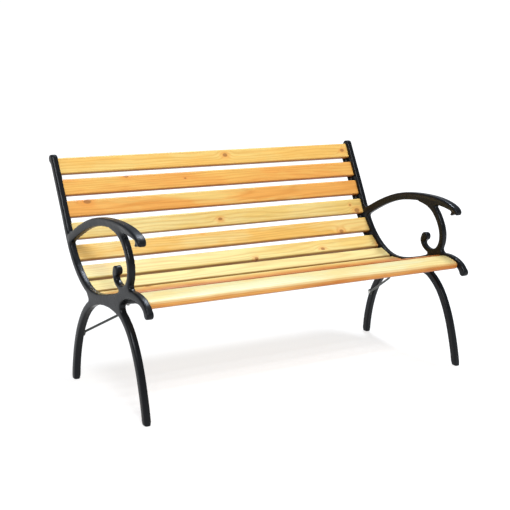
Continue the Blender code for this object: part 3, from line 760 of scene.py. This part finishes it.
# %% Turn one screw
def screw_axis(node_name):
    """The middle of the head's top, and the tip, both read from the solid."""
    points = points_of(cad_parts[node_name].data)
    spread = np.linalg.norm(points[:, None, :] - points[None, :, :], axis=2)
    first, second = np.unravel_index(spread.argmax(), spread.shape)
    a, b = points[first], points[second]
    nearer_a = (np.linalg.norm(points - a, axis=1) < np.linalg.norm(points - b, axis=1)).sum()
    return (Vector(a), Vector(b)) if nearer_a * 2 > len(points) else (Vector(b), Vector(a))


HEAD_RADIUS, HEAD_HEIGHT, SHANK_RADIUS = 0.0050, 0.0035, 0.0025
POINT_LENGTH = 0.004
SLOT_BLADE = (0.02, 0.0012, 0.003)
TURN_EACH = 1.3


def turn_screw(length):
    """A screw with its head's top at the origin, pointing down Z."""
    outline = [
        (0.0, 0.0), (0.0022, -0.0002), (0.0038, -0.0009), (0.0047, -0.0020), (HEAD_RADIUS, -0.0029),
        (0.0049, -HEAD_HEIGHT), (SHANK_RADIUS, -HEAD_HEIGHT), (SHANK_RADIUS, POINT_LENGTH - length),
        (0.0, -length),
    ]
    shape = bmesh.new()
    spots = [shape.verts.new((out, 0.0, up_by)) for out, up_by in outline]
    lines = [shape.edges.new(pair) for pair in zip(spots, spots[1:])]
    bmesh.ops.spin(
        shape, geom=[*spots, *lines], cent=(0, 0, 0), axis=(0, 0, 1), angle=math.tau, steps=24,
        use_merge=True,
    )
    bmesh.ops.remove_doubles(shape, verts=shape.verts, dist=0.00002)
    bmesh.ops.recalc_face_normals(shape, faces=shape.faces)
    mesh = bpy.data.meshes.new("screw")
    shape.to_mesh(mesh)
    shape.free()
    return mesh


def saw_slot(screw):
    """Cuts the driver's slot across the head."""
    blade = bmesh.new()
    bmesh.ops.create_cube(blade, size=1.0)
    bmesh.ops.scale(blade, vec=SLOT_BLADE, verts=blade.verts)
    mesh = bpy.data.meshes.new("blade")
    blade.to_mesh(mesh)
    blade.free()
    cutter = add_object("blade", mesh)
    cut = screw.modifiers.new("slot", "BOOLEAN")
    cut.operation = "DIFFERENCE"
    cut.object = cutter
    cut.solver = "EXACT"
    finish_modifiers(screw)
    bpy.data.objects.remove(cutter)


made_screws = {}
for number, node_name in enumerate(SCREWS):
    top, tip = screw_axis(node_name)
    length = round((tip - top).length, 4)
    if length not in made_screws:
        master = add_object("master", turn_screw(length))
        saw_slot(master)
        made_screws[length] = master.data.copy()
        bpy.data.objects.remove(master)
    mesh = made_screws[length].copy()
    mesh.name = "turned_" + node_name
    lean = (top - tip).to_track_quat("Z", "Y").to_matrix().to_4x4()
    mesh.transform(Matrix.Translation(top) @ lean @ Matrix.Rotation(number * TURN_EACH, 4, "Z"))
    hand_over(add_object(mesh.name, mesh), node_name, ZINC, smooth=False)
print(len(SCREWS), "screws in", len(made_screws), "lengths")

# %% [markdown]
# ## Floor, light and camera
#
# The bench stands in a plain white studio. The floor glows, and more so further out, so that it runs into
# the bright horizon without a line and shadows stay faint. A round key lamp stands over the front, and a
# smaller, bluer one hangs above and behind. The ceiling is dim, which keeps the black
# paint black. The camera looks from the left of the front.

# %% Floor
FLOOR_SPAN = 40.0
GLOW_NEAR, GLOW_FAR = 0.74, 1.0
floor_shape = bmesh.new()
bmesh.ops.create_grid(floor_shape, x_segments=1, y_segments=1, size=FLOOR_SPAN)
floor_mesh = bpy.data.meshes.new("floor")
floor_shape.to_mesh(floor_mesh)
floor_shape.free()
floor = add_object("floor", floor_mesh)
floor_paint, floor_tree, floor_shader = new_material("pale_floor")
floor_shader.inputs["Base Color"].default_value = (0.34, 0.34, 0.34, 1.0)
floor_shader.inputs["Roughness"].default_value = 0.9
floor_shader.inputs["Specular IOR Level"].default_value = 0.0
floor_shader.inputs["Emission Color"].default_value = (1.0, 1.0, 1.0, 1.0)
floor_place = node(floor_tree, "ShaderNodeTexCoord").outputs["Object"]
from_bench = vector_maths(floor_tree, "LENGTH", floor_place, output="Value")
floor_glow = between(floor_tree, from_bench, 0.8, 4.0, GLOW_NEAR, GLOW_FAR)
floor_tree.links.new(floor_glow, floor_shader.inputs["Emission Strength"])
floor.data.materials.append(floor_paint)
print("floor", floor.name)

# %% Light
sky = bpy.data.worlds.new("studio")
scene.world = sky
sky.use_nodes = True
sky_tree = sky.node_tree
HORIZON_WHITE, CEILING_GREY = (1.02, 1.02, 1.02, 1.0), (0.26, 0.29, 0.34, 1.0)
sky_direction = node(sky_tree, "ShaderNodeTexCoord").outputs["Generated"]
sky_height = node(sky_tree, "ShaderNodeSeparateXYZ", {0: sky_direction}).outputs["Z"]
ceiling = between(sky_tree, sky_height, 0.08, 0.38)
sky_colour = mix_colour(sky_tree, ceiling, HORIZON_WHITE, CEILING_GREY)
sky_tree.links.new(sky_colour, sky_tree.nodes["Background"].inputs["Color"])
sky_tree.nodes["Background"].inputs["Strength"].default_value = 1.0


LAMP_AIM = (0.0, 0.0, 0.4)


def soft_lamp(name, place, size, power, colour):
    """A round lamp that shines at the middle of the bench."""
    lamp = bpy.data.lights.new(name, "AREA")
    lamp.shape = "DISK"
    lamp.size = size
    lamp.energy = power
    lamp.color = colour
    holder = bpy.data.objects.new(name, lamp)
    scene.collection.objects.link(holder)
    beam = Vector(LAMP_AIM) - Vector(place)
    holder.matrix_world = Matrix.Translation(place) @ beam.to_track_quat("-Z", "Y").to_matrix().to_4x4()


soft_lamp("key", (-1.8, -3.4, 4.0), size=1.5, power=200.0, colour=(1.0, 0.99, 0.96))
soft_lamp("top", (1.1, 0.65, 3.9), size=0.8, power=135.0, colour=(0.86, 0.92, 1.0))

# %% Camera
CAMERA_PLACE = (-2.0131, -3.0603, 1.1559)
LENS, SENSOR = 78.86, 36.0
HEADING, LOOK_DOWN, ROLL = -33.0, 11.88, 1.28
eye = bpy.data.cameras.new("camera")
eye.lens = LENS
eye.sensor_width = SENSOR
camera = bpy.data.objects.new("camera", eye)
scene.collection.objects.link(camera)
camera.matrix_world = (
    Matrix.Translation(CAMERA_PLACE)
    @ Matrix.Rotation(math.radians(HEADING), 4, "Z")
    @ Matrix.Rotation(math.radians(90.0 - LOOK_DOWN), 4, "X")
    @ Matrix.Rotation(math.radians(ROLL), 4, "Z")
)
scene.camera = camera
scene.view_settings.view_transform = "Standard"
print("camera at", [round(v, 3) for v in camera.matrix_world.translation])

# %% [markdown]
# ## Finish
#
# The scene is brought up to date as the last step. The visual pieces must fit the engineer's box.


bpy.context.view_layer.update()
